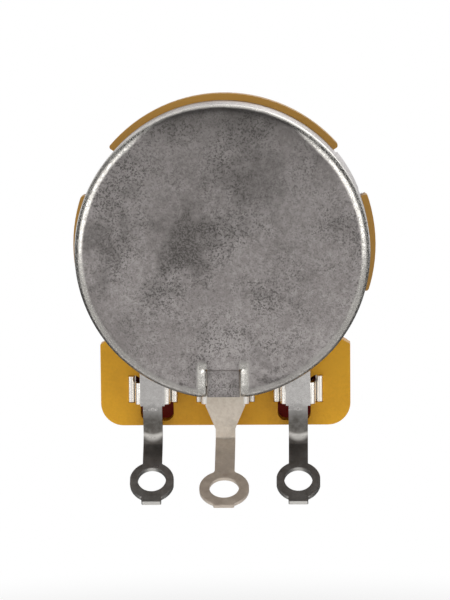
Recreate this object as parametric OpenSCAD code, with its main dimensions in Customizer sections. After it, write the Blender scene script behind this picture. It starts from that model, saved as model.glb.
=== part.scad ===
// Rotary potentiometer, 24 mm class, with solder lugs, a threaded bushing and a split splined shaft.
// Every piece is drawn as it is seen from behind: x to the right, y up, z from the panel face
// back towards the cover. The last lines stand the pieces up, with the shaft along +Y and the lugs down.

/* [Rear cover] */
// Outer diameter of the drawn cover
cover_d = 23.6; // [22.6:0.1:24.2]
// Height of the cover over the board
cover_h = 6.8; // [6.6:0.1:9]
// Sheet of the cover
cover_t = 0.5; // [0.4:0.05:0.6]
// Outer radius of the drawn edge
cover_edge_r = 0.9; // [0.7:0.05:1.2]
// Width of the window in the wall behind the lugs, as an angle
window_angle = 84; // [76:1:92]
// Height of the window over the board
window_h = 3.4; // [2.6:0.1:4.2]
// Width of the inward stop tab at the lug side
stop_w = 2.6; // [2:0.1:3.2]
// Length of the stop tab, inwards from the wall
stop_len = 2.5; // [2.2:0.1:2.6]
// How far the stop tab is pressed in
stop_drop = 1.1; // [0.9:0.05:1.3]
// Radius of the edges that roll over beside the stop tab
roll_r = 0.35; // [0.2:0.05:0.4]
// Width of each fold-over tab
tab_w = 3.4; // [2.6:0.1:3.8]
// Length of each fold-over tab on the plate
tab_fold = 1.7; // [1.2:0.1:2]
// Angle of the upper tabs over the horizontal
upper_tab_angle = 30; // [28:0.5:38]
// Angle of the lower tabs under the horizontal
lower_tab_angle = 29; // [25:0.5:29]

/* [Board] */
// How far the laminate board stands out past the cover's wall
board_lip = 0.53; // [0.45:0.01:0.7]
// Thickness of the laminate
board_t = 1.6; // [1.2:0.1:2]
// Width of the terminal tail
tail_w = 20.46; // [20.2:0.02:20.8]
// How far the tail reaches down past the cover's wall
tail_len = 3.07; // [2.9:0.01:3.3]
// Upper edge of the tail under the shaft axis
tail_top = 7.7; // [7.2:0.1:8.2]
// Radius of the lower corners of the tail
tail_r = 1.85; // [1:0.05:2.2]
// Width of each rounded window behind an outer lug
slot_w = 2.7; // [2.2:0.1:3]
// Thickness of the fibre insulator in front of the board
insulator_t = 0.3; // [0.2:0.05:0.5]

/* [Resistive element] */
// Clearance between the resistive track and the cover's wall
track_edge_gap = 1.25; // [1:0.05:1.5]
// Width of the resistive track
track_w = 2.4; // [1.8:0.1:2.6]
// Distance between the middles of the track and the collector ring
ring_spacing = 2.95; // [2.8:0.05:3.05]
// Width of the collector ring
collector_w = 1.6; // [1.2:0.1:1.8]
// Thickness of the printed track and pads
print_t = 0.08; // [0.05:0.01:0.12]

/* [Terminals] */
// Spacing of the lugs
pitch = 5.95; // [5.8:0.05:6.1]
// Sheet of the outer terminals
lug_t = 0.5; // [0.4:0.05:0.55]
// Sheet of the centre terminal
centre_lug_t = 0.35; // [0.3:0.05:0.5]
// Height of the saddle's flat top over the board
saddle_h = 1.15; // [1:0.05:1.4]
// Half width of the flat top of an outer saddle
outer_flat = 1; // [0.8:0.05:1.1]
// Half width of the flat top of the centre saddle
centre_flat = 1.5; // [1.3:0.05:1.6]
// Width of the outer necks
outer_neck_w = 1.56; // [1.3:0.02:1.7]
// Width of the centre neck
centre_neck_w = 1.6; // [1.4:0.05:1.7]
// Tilt of the outer eyelets towards the rear
outer_tilt = 44.5; // [38:0.5:50]
// Tilt of the centre eyelet towards the rear
centre_tilt = 57.5; // [50:0.5:65]
// Hole of the outer eyelets
outer_hole_d = 2.3; // [2:0.05:2.5]
// Hole of the centre eyelet
centre_hole_d = 2.4; // [2:0.05:2.6]
// Outer diameter of the outer eyelets
outer_eye_d = 3.6; // [3.5:0.05:3.9]
// Outer diameter of the centre eyelet
centre_eye_d = 4; // [3.8:0.05:4.3]
// Straight length from the bend to the hole of an outer lug
outer_reach = 3.36; // [3:0.02:4]
// Straight length from the bend to the hole of the centre lug
centre_reach = 5.77; // [5.2:0.01:6.2]

/* [Mounting plate] */
// How far the mounting plate stands out past the cover's wall
plate_lip = 0.15; // [0:0.05:0.35]
// Sheet of the mounting plate
plate_t = 1; // [0.8:0.05:1.2]
// Diameter of the raised middle of the plate
raised_d = 15.4; // [14.6:0.1:15.8]
// Rise of the middle of the plate over its rim
raised_h = 1; // [0.8:0.05:1.3]
// Distance of the locating lug's fold from the shaft axis
locator_r = 8.3; // [8.1:0.05:9.3]
// Width of the locating lug
locator_w = 2.8; // [2:0.1:3.4]
// How far the locating lug stands out of the mounting face
locator_h = 1.6; // [1.2:0.1:2]

/* [Bushing] */
// Outer diameter of the threaded bushing
bushing_d = 9.52; // [9.3:0.02:9.8]
// Length of the bushing in front of the mounting face
bushing_len = 9.5; // [6:0.1:12]
// Step from the thread out to the bushing's spigot in the plate
spigot_step = 0.4; // [0.35:0.05:0.5]
// Overhang of the riveted rim past the spigot
rivet_lip = 0.6; // [0.5:0.05:0.7]
// Thickness of the riveted rim
rivet_t = 0.6; // [0.4:0.05:0.7]

/* [Shaft] */
// Diameter of the shaft in its bushing
shaft_d = 6.35; // [6:0.05:6.4]
// Radial clearance of the shaft in its bushing
shaft_gap = 0.05; // [0.03:0.01:0.08]
// Length of the shaft in front of the mounting face
shaft_len = 19; // [17:0.5:24]
// Diameter over the splines
spline_d = 6; // [5.8:0.05:6]
// Number of splines
spline_n = 24; // [18:1:24]
// Depth of the splines
spline_depth = 0.28; // [0.2:0.02:0.34]
// Length of the splined end
spline_len = 7; // [5:0.1:7]
// Width of the slot that splits the shaft
split_w = 1; // [0.8:0.05:1.2]
// Depth of the slot from the shaft's end
split_len = 7.5; // [5:0.1:8]
// Diameter of the collar that rests behind the bushing
collar_d = 8.4; // [7.8:0.1:9]
// Thickness of the collar
collar_t = 0.8; // [0.6:0.05:1]
// Thickness of the retaining ring
ring_t = 0.6; // [0.4:0.05:0.8]
// Outer diameter of the retaining ring
ring_d = 8.2; // [7.8:0.1:8.6]
// Depth of the groove for the retaining ring
ring_groove = 0.5; // [0.3:0.05:0.7]
// Diameter of the keyed tail inside the rotor
tail_d = 5.2; // [4.8:0.1:5.6]
// Distance across the flats of the keyed tail
tail_flats = 4; // [3.6:0.1:4.4]

/* [Rotor and wiper] */
// Full travel of the shaft in degrees
travel = 300; // [280:5:310]
// Outer diameter of the moulded rotor
rotor_d = 16.6; // [15.6:0.1:17]
// Thickness of the rotor's disc
rotor_t = 1.3; // [1:0.1:1.6]
// Outer diameter of the rotor's hub
hub_d = 8.4; // [7.8:0.1:9]
// Clearance of the rotor's stop arm inside the cover's wall
arm_gap = 0.5; // [0.4:0.05:0.7]
// Sheet of the wiper spring
wiper_t = 0.2; // [0.12:0.02:0.26]
// Width of each contact finger
finger_w = 0.36; // [0.3:0.02:0.42]
// Slope of the contact fingers
finger_slope = 30; // [26:1:34]

/* [Fits] */
// Clearance between the cover's tabs and the notches that they pass
notch_gap = 0.12; // [0.08:0.02:0.2]
// Clearance round the terminals in the board's slots
seat_gap = 0.06; // [0.04:0.01:0.1]
// Axial play of the shaft
end_play = 0.1; // [0.06:0.01:0.15]
// Clearance between the turning pieces and what stands still
run_gap = 0.3; // [0.25:0.05:0.4]
// Height of the fingertips over the track
contact_gap = 0.03; // [0.02:0.01:0.05]
// Clearance of the rotor's arm from the stop tab at each end of the travel
stop_gap = 0.08; // [0.05:0.01:0.15]

/* [Hidden] */
$fn = 96;
eps = 0.01;
wide = 60;

// Depths behind the mounting face
rim_front = raised_h;
rim_back = rim_front + plate_t;
board_front = rim_back + insulator_t;
board_back = board_front + board_t;
cover_back = board_back + cover_h;
cover_inner = cover_back - cover_t;

cover_r = cover_d / 2;
cover_inner_r = cover_r - cover_t;
tab_angles = [upper_tab_angle, 180 - upper_tab_angle, 180 + lower_tab_angle, 360 - lower_tab_angle];
notch_r = sqrt(pow(cover_inner_r, 2) - pow(tab_w / 2, 2)) - notch_gap;
board_notch_w = 4.4;
board_d = cover_d + 2 * board_lip;
plate_d = cover_d + 2 * plate_lip;
tail_drop = cover_r + tail_len;
arm_r = cover_inner_r - arm_gap;
track_outer = cover_inner_r - track_edge_gap;
track_inner = track_outer - track_w;
track_r = track_outer - track_w / 2;
collector_r = track_r - ring_spacing;
stop_top = cover_r - eps - stop_len;
stop_slit = 0.08;
locator_slit = 0.3;
locator_bend_r = 0.3;
plate_edge_r = 0.3;
thread_chamfer = 0.4;

// Saddle of the terminals: a flat top, round shoulders, and a hairpin in a slot of the board
shoulder_r = 0.45;
lip_gap = 0.06;
lip_h = 0.5;
saddle_foot = 1.9 - tail_drop;
saddle_top = saddle_foot + 2.2;
wing_top = saddle_top - 0.45;
hairpin_z = board_back - board_t * 0.7;

slot_x = 5.62;
slot_low = 0.37 - tail_drop;
slot_high = slot_low + 1.98;
slot_r = 0.65;

outer_bend_y = saddle_foot - 0.15;
outer_dip = 15;
outer_dip_run = 1.47;
dip_r = 1;
rise_r = 1.5;
outer_eye_w = outer_eye_d - 0.06;
outer_eye_shift = 0.09;
centre_bend_y = -tail_drop - 0.73;
centre_bend_r = 0.3;
funnel_foot = -tail_drop - 0.15;
funnel_r = 0.12;
dimple_r = 1.2;
dimple_depth = 0.1;
outer_stub = 0.27;
centre_stub = 0.04;
neck_fillet = 0.4;
outer_stub_w = 1.6;
centre_stub_w = 1.68;
outer_foot_y = 2.6 - cover_inner_r;
centre_foot_y = -collector_r + collector_w / 2 - 0.3;
centre_inner_half = 1.1;

bore_d = shaft_d + 2 * shaft_gap;
spigot_d = bushing_d + 2 * spigot_step;
rivet_d = spigot_d + 2 * rivet_lip;
collar_front = plate_t + rivet_t + end_play;
collar_back = collar_front + collar_t;
spline_end = 0.4;
ring_front = -bushing_len - end_play - ring_t;
centre_hole_r = collar_d / 2 + run_gap;

rotor_front = board_back + saddle_h + 0.75;
wiper_front = rotor_front - wiper_t;
hub_back = cover_inner - run_gap - 0.4;
arm_back = cover_inner - run_gap;
arm_half = 180 - travel / 2 - asin((stop_w / 2 + stop_gap) / stop_top);
peg_r = 1.1;
peg_x = rotor_d / 2 - 1.9;
toe_len = 0.4;
track_half_gap = 36;
pad_from = 18;
pad_to = 42;

// Flat shapes and sheet-metal helpers

module rounded_plate(x0, y0, x1, y1, r) {
    translate([x0 + r, y0]) square([x1 - x0 - 2 * r, y1 - y0]);
    translate([x0, y0 + r]) square([x1 - x0, y1 - y0 - 2 * r]);
    for (x = [x0 + r, x1 - r], y = [y0 + r, y1 - r]) translate([x, y]) circle(r);
}

module tab_notches(w) {
    for (a = tab_angles) rotate(a) translate([notch_r, -w / 2]) square([wide, w]);
}

// Plan of the board and of the insulator behind it, with the tail's lower corners rounded
module board_plan(shrink) {
    half = tail_w / 2 - shrink;
    low = -tail_drop + shrink;
    difference() {
        union() {
            circle(board_d / 2 - shrink);
            difference() {
                rounded_plate(-half, low, half, -tail_top - shrink, tail_r);
                translate([-wide, -tail_top - tail_r]) square([2 * wide, wide]);
            }
            rounded_plate(-half, -tail_top - 2 * tail_r, half, -tail_top - shrink, 0.5);
        }
        tab_notches(board_notch_w);
    }
}

module wedge(half_angle, r) {
    polygon([[0, 0], [r * sin(half_angle), -r * cos(half_angle)], [r, -r], [r, -2 * r],
        [-r, -2 * r], [-r, -r], [-r * sin(half_angle), -r * cos(half_angle)]]);
}

// A strip that starts at the origin, runs down along -y with its seen face at z = 0, and is bent
// by each [run, angle, radius] in turn: a positive angle lifts it towards the rear
module bent_strip(steps, w, t, i = 0) {
    if (i < len(steps)) {
        run = steps[i][0];
        angle = steps[i][1];
        r = steps[i][2];
        if (run > 0) translate([-w / 2, -run - eps, -t]) cube([w, run + 2 * eps, t]);
        translate([0, -run, 0])
            if (angle > 0) {
                translate([0, 0, r]) rotate([0, 0, 180]) rotate([0, 90, 0])
                    rotate_extrude(angle = angle) translate([r, -w / 2]) square([t, w]);
                translate([0, 0, r]) rotate([-angle, 0, 0]) translate([0, 0, -r])
                    bent_strip(steps, w, t, i + 1) children();
            } else if (angle < 0) {
                translate([0, 0, -t - r]) rotate([0, 0, 180]) rotate([0, -90, 0])
                    rotate_extrude(angle = -angle) translate([r, -w / 2]) square([t, w]);
                translate([0, 0, -t - r]) rotate([-angle, 0, 0]) translate([0, 0, t + r])
                    bent_strip(steps, w, t, i + 1) children();
            } else {
                bent_strip(steps, w, t, i + 1) children();
            }
    } else {
        children();
    }
}

// Rear cover

module cup_profile(r, top, edge) {
    translate([0, board_back]) square([r - edge, top - board_back]);
    translate([0, board_back]) square([r, top - board_back - edge]);
    translate([r - edge, top - edge]) circle(edge);
}

module tab_profile() {
    bend = cover_t + 0.15;
    difference() {
        union() {
            translate([cover_inner_r, rim_front]) square([cover_t, board_back - rim_front + eps]);
            translate([cover_r - tab_fold, rim_front - cover_t]) square([tab_fold - bend, cover_t]);
            translate([cover_r - bend, rim_front - cover_t + bend]) circle(bend);
            translate([cover_inner_r, rim_front - cover_t + bend]) square([cover_t, bend]);
        }
        translate([0, rim_front]) square([cover_inner_r, wide]);
    }
}

module rear_cover() {
    color("silver") {
        difference() {
            rotate_extrude() difference() {
                cup_profile(cover_r, cover_back, cover_edge_r);
                translate([0, -eps]) cup_profile(cover_inner_r, cover_inner + eps, cover_edge_r - cover_t);
            }
            translate([0, 0, board_back - eps]) linear_extrude(window_h + eps)
                wedge(window_angle / 2, cover_r + 1);
            translate([-stop_w / 2 - stop_slit, -wide, cover_inner - wide])
                cube([stop_w + 2 * stop_slit, wide - stop_top, 2 * wide]);
            for (side = [0, 1]) mirror([side, 0, 0])
                translate([stop_w / 2 + stop_slit - eps, -stop_top, cover_back - roll_r]) rotate([90, 0, 0])
                    linear_extrude(wide) difference() {
                        square(roll_r + 2 * eps);
                        translate([roll_r + eps, 0]) circle(roll_r);
                    }
        }
        stop_tab();
        for (a = tab_angles) intersection() {
            rotate_extrude() tab_profile();
            rotate(a) translate([0, -tab_w / 2, 0]) cube([wide, tab_w, board_back + eps]);
        }
    }
}

// The tab is sheared from the back on both sides and pressed in, with a short steep step at its root
module stop_tab() {
    step = 0.3;
    tab_back = cover_back - stop_drop;
    translate([stop_w / 2, 0, 0]) rotate([0, -90, 0]) linear_extrude(stop_w) polygon([
        [cover_back, -stop_top + eps], [cover_back, -stop_top], [tab_back, -stop_top - step],
        [tab_back, -cover_r + 0.1], [tab_back - cover_t, -cover_r + 0.1],
        [tab_back - cover_t, -stop_top - step + cover_t * 0.6],
        [cover_back - cover_t, -stop_top + cover_t * 0.6], [cover_back - cover_t, -stop_top + cover_t]]);
}

// Element board and what is printed or laid on it

module saddle_slots() {
    for (x = [-pitch, 0, pitch], side = [-1, 1]) {
        flat = x == 0 ? centre_flat : outer_flat;
        t = x == 0 ? centre_lug_t : lug_t;
        translate([x + side * (flat + shoulder_r + lip_gap / 2), (saddle_top + saddle_foot) / 2])
            square([2 * t + lip_gap + 2 * seat_gap, saddle_top - saddle_foot + 2 * seat_gap], center = true);
    }
}

module element_board() {
    color("peru") translate([0, 0, board_front]) linear_extrude(board_t) difference() {
        board_plan(0);
        circle(centre_hole_r);
        saddle_slots();
        for (side = [-1, 1])
            translate([side * slot_x, 0])
                rounded_plate(-slot_w / 2, slot_low, slot_w / 2, slot_high, slot_r);
    }
}

module terminal_insulator() {
    color("darkred") translate([0, 0, rim_back]) linear_extrude(insulator_t) difference() {
        board_plan(0.15);
        circle(centre_hole_r);
    }
}

module arc_band(r0, r1, half_gap) {
    difference() {
        circle(r1);
        circle(r0);
        wedge(half_gap, r1 + 1);
    }
}

module resistive_track() {
    color("dimgray") translate([0, 0, board_back]) linear_extrude(print_t)
        arc_band(track_inner, track_outer, track_half_gap);
}

module end_pad(side) {
    pad_low = -cover_inner_r * cos(asin(pitch / cover_inner_r)) + 0.1;
    pad_high = -sqrt(pow(track_r, 2) - pow(pitch, 2));
    color("gainsboro") translate([0, 0, board_back]) linear_extrude(print_t) difference() {
        union() {
            intersection() {
                arc_band(track_inner, track_outer, track_half_gap - 9);
                polygon([[0, 0], [side * wide * sin(pad_to), -wide * cos(pad_to)],
                    [side * wide * sin(pad_from), -wide * cos(pad_from)]]);
            }
            translate([side * pitch - outer_flat, pad_low]) square([2 * outer_flat, pad_high - pad_low]);
        }
        difference() {
            circle(track_outer + eps);
            wedge(track_half_gap, wide);
        }
    }
}

module end_pad_left() { end_pad(-1); }
module end_pad_right() { end_pad(1); }

module collector_ring() {
    color("lightsteelblue") translate([0, 0, board_back]) linear_extrude(print_t) difference() {
        circle(collector_r + collector_w / 2);
        circle(collector_r - collector_w / 2);
    }
}

// Terminals

// Half of the saddle's section, with height over the board along y
module half_saddle_section(flat, t) {
    wall = flat + shoulder_r;
    base = hairpin_z - board_back;
    translate([0, saddle_h - t]) square([flat + eps, t]);
    intersection() {
        translate([flat, saddle_h - shoulder_r]) difference() {
            circle(shoulder_r);
            circle(max(shoulder_r - t, eps));
        }
        translate([flat, saddle_h - shoulder_r]) square(shoulder_r + 1);
    }
    translate([wall - t, base + t / 2]) square([t, saddle_h - shoulder_r - base - t / 2 + eps]);
    translate([wall - t / 2, base + t / 2]) circle(t / 2);
    translate([wall - t / 2, base]) square([t + lip_gap, t / 2]);
    translate([wall + lip_gap + t / 2, base + t / 2]) circle(t / 2);
    translate([wall + lip_gap, base + t / 2]) square([t, lip_h - base - t]);
    translate([wall + lip_gap + t / 2, lip_h - t / 2]) circle(t / 2);
}

module saddle(flat, t) {
    wall = flat + shoulder_r;
    translate([0, 0, board_back]) intersection() {
        rotate([90, 0, 0]) linear_extrude(wide) {
            half_saddle_section(flat, t);
            mirror([1, 0]) half_saddle_section(flat, t);
        }
        translate([0, 0, -board_t]) linear_extrude(board_t + 2 * saddle_h) union() {
            for (side = [0, 1]) mirror([side, 0]) {
                translate([0, saddle_foot]) square([flat + shoulder_r - t, wing_top - saddle_foot + 1]);
                translate([flat + shoulder_r - t - eps, saddle_foot])
                    square([t + 2 * eps, wing_top - saddle_foot]);
                translate([wall, saddle_foot + 0.1]) square([lip_gap + t, saddle_top - saddle_foot - 0.1]);
            }
        }
    }
}

// The inner end runs in under the cover and steps down to its pad
module inner_end(half, foot, t) {
    rise = saddle_h - t - print_t;
    heel = foot - 1;
    knee = heel - rise;
    translate([-half, 0, board_back + print_t]) rotate([90, 0, 90]) linear_extrude(2 * half)
        polygon([[foot, 0], [heel, 0], [knee, rise], [wing_top, rise], [wing_top, rise + t],
            [knee + 0.2, rise + t], [heel + 0.2, t], [foot, t]]);
}

// One side of the flare where a neck runs out into a round eyelet
module neck_flare(r, half, fillet) {
    x = half + fillet;
    y = sqrt(pow(r + fillet, 2) - pow(x, 2));
    difference() {
        polygon([[0, 0], [0, y], [x, y], [x * r / (r + fillet), y * r / (r + fillet)]]);
        translate([x, y]) circle(fillet);
    }
}

module eyelet(eye_d, eye_w, shift, hole_d, neck_w, fillet, stub_w, stub, reach, t) {
    translate([0, -reach, -t]) linear_extrude(t) difference() {
        union() {
            translate([0, -shift]) intersection() {
                circle(d = eye_d);
                square([eye_w, 2 * eye_d], center = true);
            }
            translate([-neck_w / 2, 0]) square([neck_w, reach + eps]);
            if (fillet > 0)
                for (side = [0, 1]) mirror([side, 0]) neck_flare(eye_d / 2 - 0.02, neck_w / 2, fillet);
            rounded_plate(-stub_w / 2, -eye_d / 2 - shift - stub, stub_w / 2, -hole_d / 2, 0.12);
        }
        circle(d = hole_d);
    }
}

module outer_terminal(side) {
    color("lightgray") translate([side * pitch, 0, 0]) {
        difference() {
            union() {
                saddle(outer_flat, lug_t);
                inner_end(outer_flat, outer_foot_y, lug_t);
                translate([-outer_flat, outer_bend_y, board_back + saddle_h - lug_t])
                    cube([2 * outer_flat, saddle_foot - outer_bend_y + eps, lug_t]);
                translate([0, outer_bend_y, board_back + saddle_h])
                    bent_strip([[0, -outer_dip, dip_r], [outer_dip_run, outer_dip + outer_tilt, rise_r]],
                        outer_neck_w, lug_t)
                        eyelet(outer_eye_d, outer_eye_w, outer_eye_shift, outer_hole_d, outer_neck_w, 0,
                            outer_stub_w, outer_stub, outer_reach, lug_t);
            }
            translate([0, outer_bend_y - 0.25, board_back + saddle_h + dimple_r - dimple_depth])
                sphere(dimple_r);
        }
    }
}

module terminal_left() { outer_terminal(-1); }
module terminal_right() { outer_terminal(1); }

module terminal_centre() {
    half = centre_neck_w / 2;
    color("wheat") {
        saddle(centre_flat, centre_lug_t);
        inner_end(centre_inner_half, centre_foot_y, centre_lug_t);
        translate([0, 0, board_back + saddle_h - centre_lug_t]) linear_extrude(centre_lug_t)
            polygon([[-centre_flat, saddle_foot + eps], [-centre_flat - funnel_r, saddle_foot - funnel_r],
                [-half - funnel_r, funnel_foot + 2.5 * funnel_r], [-half, funnel_foot],
                [-half, centre_bend_y], [half, centre_bend_y], [half, funnel_foot],
                [half + funnel_r, funnel_foot + 2.5 * funnel_r],
                [centre_flat + funnel_r, saddle_foot - funnel_r], [centre_flat, saddle_foot + eps]]);
        translate([0, centre_bend_y, board_back + saddle_h])
            bent_strip([[0, centre_tilt, centre_bend_r]], centre_neck_w, centre_lug_t)
                eyelet(centre_eye_d, centre_eye_d, 0, centre_hole_d, centre_neck_w, neck_fillet,
                    centre_stub_w, centre_stub, centre_reach, centre_lug_t);
    }
}

// Mounting plate and bushing

module mounting_plate() {
    color("lightgray") {
        difference() {
            rotate_extrude() {
                translate([spigot_d / 2, 0])
                    square([(raised_d - spigot_d) / 2 - plate_edge_r, plate_t]);
                translate([spigot_d / 2, plate_edge_r])
                    square([(raised_d - spigot_d) / 2, plate_t - plate_edge_r]);
                translate([raised_d / 2 - plate_edge_r, plate_edge_r]) circle(plate_edge_r);
                translate([raised_d / 2 - plate_t, plate_t - eps])
                    square([plate_t, rim_back - plate_t + eps]);
                translate([raised_d / 2 - plate_t, rim_front])
                    square([(plate_d - raised_d) / 2 + plate_t, plate_t]);
            }
            linear_extrude(wide) tab_notches(board_notch_w);
            translate([locator_r, -locator_w / 2 - locator_slit, rim_front - eps])
                cube([wide, locator_w + 2 * locator_slit, wide]);
        }
        // Locating lug, cut from the rim and folded forward
        translate([locator_r, 0, rim_back]) rotate([0, 0, 90])
            bent_strip([[0, -90, locator_bend_r], [rim_front - locator_bend_r + locator_h, 0, 0]],
                locator_w, plate_t);
    }
}

module bushing() {
    color("silver") rotate_extrude() {
        polygon([[bore_d / 2, -bushing_len], [bushing_d / 2 - thread_chamfer, -bushing_len],
            [bushing_d / 2, -bushing_len + thread_chamfer], [bushing_d / 2, 0],
            [spigot_d / 2, 0], [spigot_d / 2, plate_t + eps], [bore_d / 2, plate_t + eps]]);
        translate([bore_d / 2, plate_t]) square([(rivet_d - bore_d) / 2 - rivet_t, rivet_t]);
        intersection() {
            translate([rivet_d / 2 - rivet_t, plate_t]) circle(rivet_t);
            translate([rivet_d / 2 - rivet_t - eps, plate_t]) square([wide, rivet_t]);
        }
    }
}

// Shaft, its ring, the rotor and the wiper

module keyed_tail_plan(gap) {
    intersection() {
        circle(d = tail_d + 2 * gap);
        square([wide, tail_flats + 2 * gap], center = true);
    }
}

module shaft() {
    tip = -shaft_len;
    groove_front = ring_front - end_play / 2;
    color("gainsboro") difference() {
        union() {
            rotate_extrude() {
                polygon([[0, tip], [spline_d / 2 - 0.5, tip], [spline_d / 2, tip + 0.5],
                    [spline_d / 2, tip + spline_len], [0, tip + spline_len]]);
                difference() {
                    translate([0, tip + spline_len - eps])
                        square([shaft_d / 2, collar_front + shaft_len - spline_len + 2 * eps]);
                    translate([shaft_d / 2 - ring_groove, groove_front]) square([wide, ring_t + end_play]);
                }
                translate([0, collar_front]) square([collar_d / 2, collar_t]);
                translate([0, collar_back - eps]) square([shaft_d / 2, rotor_front - collar_back + eps]);
            }
            translate([0, 0, rotor_front - eps]) linear_extrude(hub_back - rotor_front + eps)
                keyed_tail_plan(0);
            translate([0, 0, hub_back]) cylinder(h = 0.3, d1 = tail_d + 0.7, d2 = tail_d - 0.4);
        }
        for (i = [0 : spline_n - 1]) rotate((i + 0.5) * 360 / spline_n)
            translate([spline_d / 2 + 0.02, 0, tip - 1]) linear_extrude(spline_len - spline_end + 1)
                polygon([[0.2, -0.52], [-spline_depth, 0], [0.2, 0.52]]);
        translate([-wide, -split_w / 2, tip - 1]) cube([2 * wide, split_w, split_len + 1]);
    }
}

module retaining_ring() {
    color("dimgray") translate([0, 0, ring_front]) linear_extrude(ring_t) difference() {
        circle(d = ring_d);
        circle(d = shaft_d - 2 * ring_groove + 0.1);
        translate([-1.5, 0]) square([3, wide]);
    }
}

module rotor() {
    color("darkslategray") difference() {
        union() {
            translate([0, 0, rotor_front]) cylinder(h = rotor_t, d = rotor_d);
            translate([0, 0, rotor_front]) cylinder(h = hub_back - rotor_front, d = hub_d);
            translate([0, 0, rotor_front]) linear_extrude(arm_back - rotor_front) rotate(180)
                difference() {
                    intersection() {
                        circle(arm_r);
                        wedge(arm_half, wide);
                    }
                    circle(rotor_d / 2 - 1.2);
                }
            for (a = [45, 135, 225, 315]) rotate(a) translate([0, -0.4, rotor_front])
                cube([rotor_d / 2 - 0.4, 0.8, rotor_t + 0.7]);
            for (side = [-1, 1]) translate([side * peg_x, 0, wiper_front - 0.3])
                cylinder(h = wiper_t + 0.3 + eps, r = peg_r);
        }
        translate([0, 0, rotor_front - 1]) linear_extrude(wide) keyed_tail_plan(0);
    }
}

// Spring sheet under the rotor: a ring with two eyes, and fingers for the track and the collector
module wiper() {
    tip_z = board_back + print_t + contact_gap;
    fall = wiper_front - tip_z;
    root = -fall / tan(finger_slope) - toe_len / 2;
    color("goldenrod") {
        translate([0, 0, wiper_front]) linear_extrude(wiper_t) difference() {
            union() {
                circle(rotor_d / 2 - 1.6);
                for (side = [-1, 1]) translate([side * peg_x, 0]) circle(peg_r + 0.9);
                translate([root - 1.1, 0]) square([1.3, track_outer - 0.2]);
            }
            circle(shaft_d / 2 + 0.4);
            for (side = [-1, 1]) translate([side * peg_x, 0]) circle(peg_r);
        }
        for (r = [collector_r - 0.4, collector_r + 0.2, track_r - 0.6, track_r, track_r + 0.6])
            translate([root, r, wiper_front]) contact_finger(fall);
    }
}

// One finger along +x, sloping down from the sheet to a short flat toe
module contact_finger(fall) {
    run = fall / tan(finger_slope);
    translate([0, finger_w / 2, 0]) rotate([90, 0, 0]) linear_extrude(finger_w) polygon([
        [-0.2, 0], [0, 0], [run, -fall], [run + toe_len, -fall], [run + toe_len, wiper_t - fall],
        [run + 0.1, wiper_t - fall], [0.1, wiper_t], [-0.2, wiper_t]]);
}

module stand_up() { rotate([90, 0, 0]) children(); }

stand_up() rear_cover();
stand_up() element_board();
stand_up() resistive_track();
stand_up() end_pad_left();
stand_up() end_pad_right();
stand_up() collector_ring();
stand_up() terminal_left();
stand_up() terminal_centre();
stand_up() terminal_right();
stand_up() terminal_insulator();
stand_up() mounting_plate();
stand_up() bushing();
stand_up() shaft();
stand_up() retaining_ring();
stand_up() rotor();
stand_up() wiper();
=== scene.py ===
"""Dresses a rotary potentiometer, seen from behind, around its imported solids.

Pieces are drawn as the part's source draws them: x right, y up and z from the mounting face
towards the rear, in millimetres. Blank.finished() stands them up in the row frame, in metres.
"""

import logging
import math
from dataclasses import dataclass
from enum import Enum
from typing import Callable, Sequence

import bmesh
import bpy
from mathutils import Matrix, Quaternion, Vector


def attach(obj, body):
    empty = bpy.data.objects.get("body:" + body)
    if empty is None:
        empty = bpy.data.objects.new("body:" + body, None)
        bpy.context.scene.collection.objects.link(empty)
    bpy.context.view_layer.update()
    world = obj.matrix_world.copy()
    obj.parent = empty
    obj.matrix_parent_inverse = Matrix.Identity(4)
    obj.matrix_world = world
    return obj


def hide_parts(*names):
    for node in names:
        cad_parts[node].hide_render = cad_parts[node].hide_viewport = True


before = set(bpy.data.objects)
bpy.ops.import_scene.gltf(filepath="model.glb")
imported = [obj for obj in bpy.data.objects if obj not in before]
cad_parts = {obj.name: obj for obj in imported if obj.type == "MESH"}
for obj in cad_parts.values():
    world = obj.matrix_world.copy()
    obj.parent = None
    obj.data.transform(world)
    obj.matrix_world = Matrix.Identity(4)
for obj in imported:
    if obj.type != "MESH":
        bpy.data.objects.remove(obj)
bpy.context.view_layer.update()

Colour = tuple[float, float, float]
Place = tuple[float, float, float]
Point = tuple[float, float]
Span = tuple[float, float]
Region = Callable[[Vector], bool]

MM = 0.001
STAND_UP = Matrix.Scale(MM, 4) @ Matrix.Rotation(math.pi / 2, 4, "X")
# In mm: points closer than MERGE become one, and a point within NEAR of a line is taken to lie on it.
MERGE = 1e-4
NEAR = 1e-3
# In metres: heights of the studio's floor and of the cards that lie just over it.
FLOOR_Z = -0.045
ON_FLOOR = FLOOR_Z + 0.002

log = logging.getLogger("potentiometer")


class Body(Enum):
    """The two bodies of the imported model."""

    HOUSING = "housing"
    SHAFT = "turning_shaft"


@dataclass(frozen=True)
class Noise:
    """A noise pattern: size of its patches in mm, finer layers, their strength, and what reads as 0 and 1."""

    size: float
    detail: float
    rough: float
    span: Span | None = None


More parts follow.
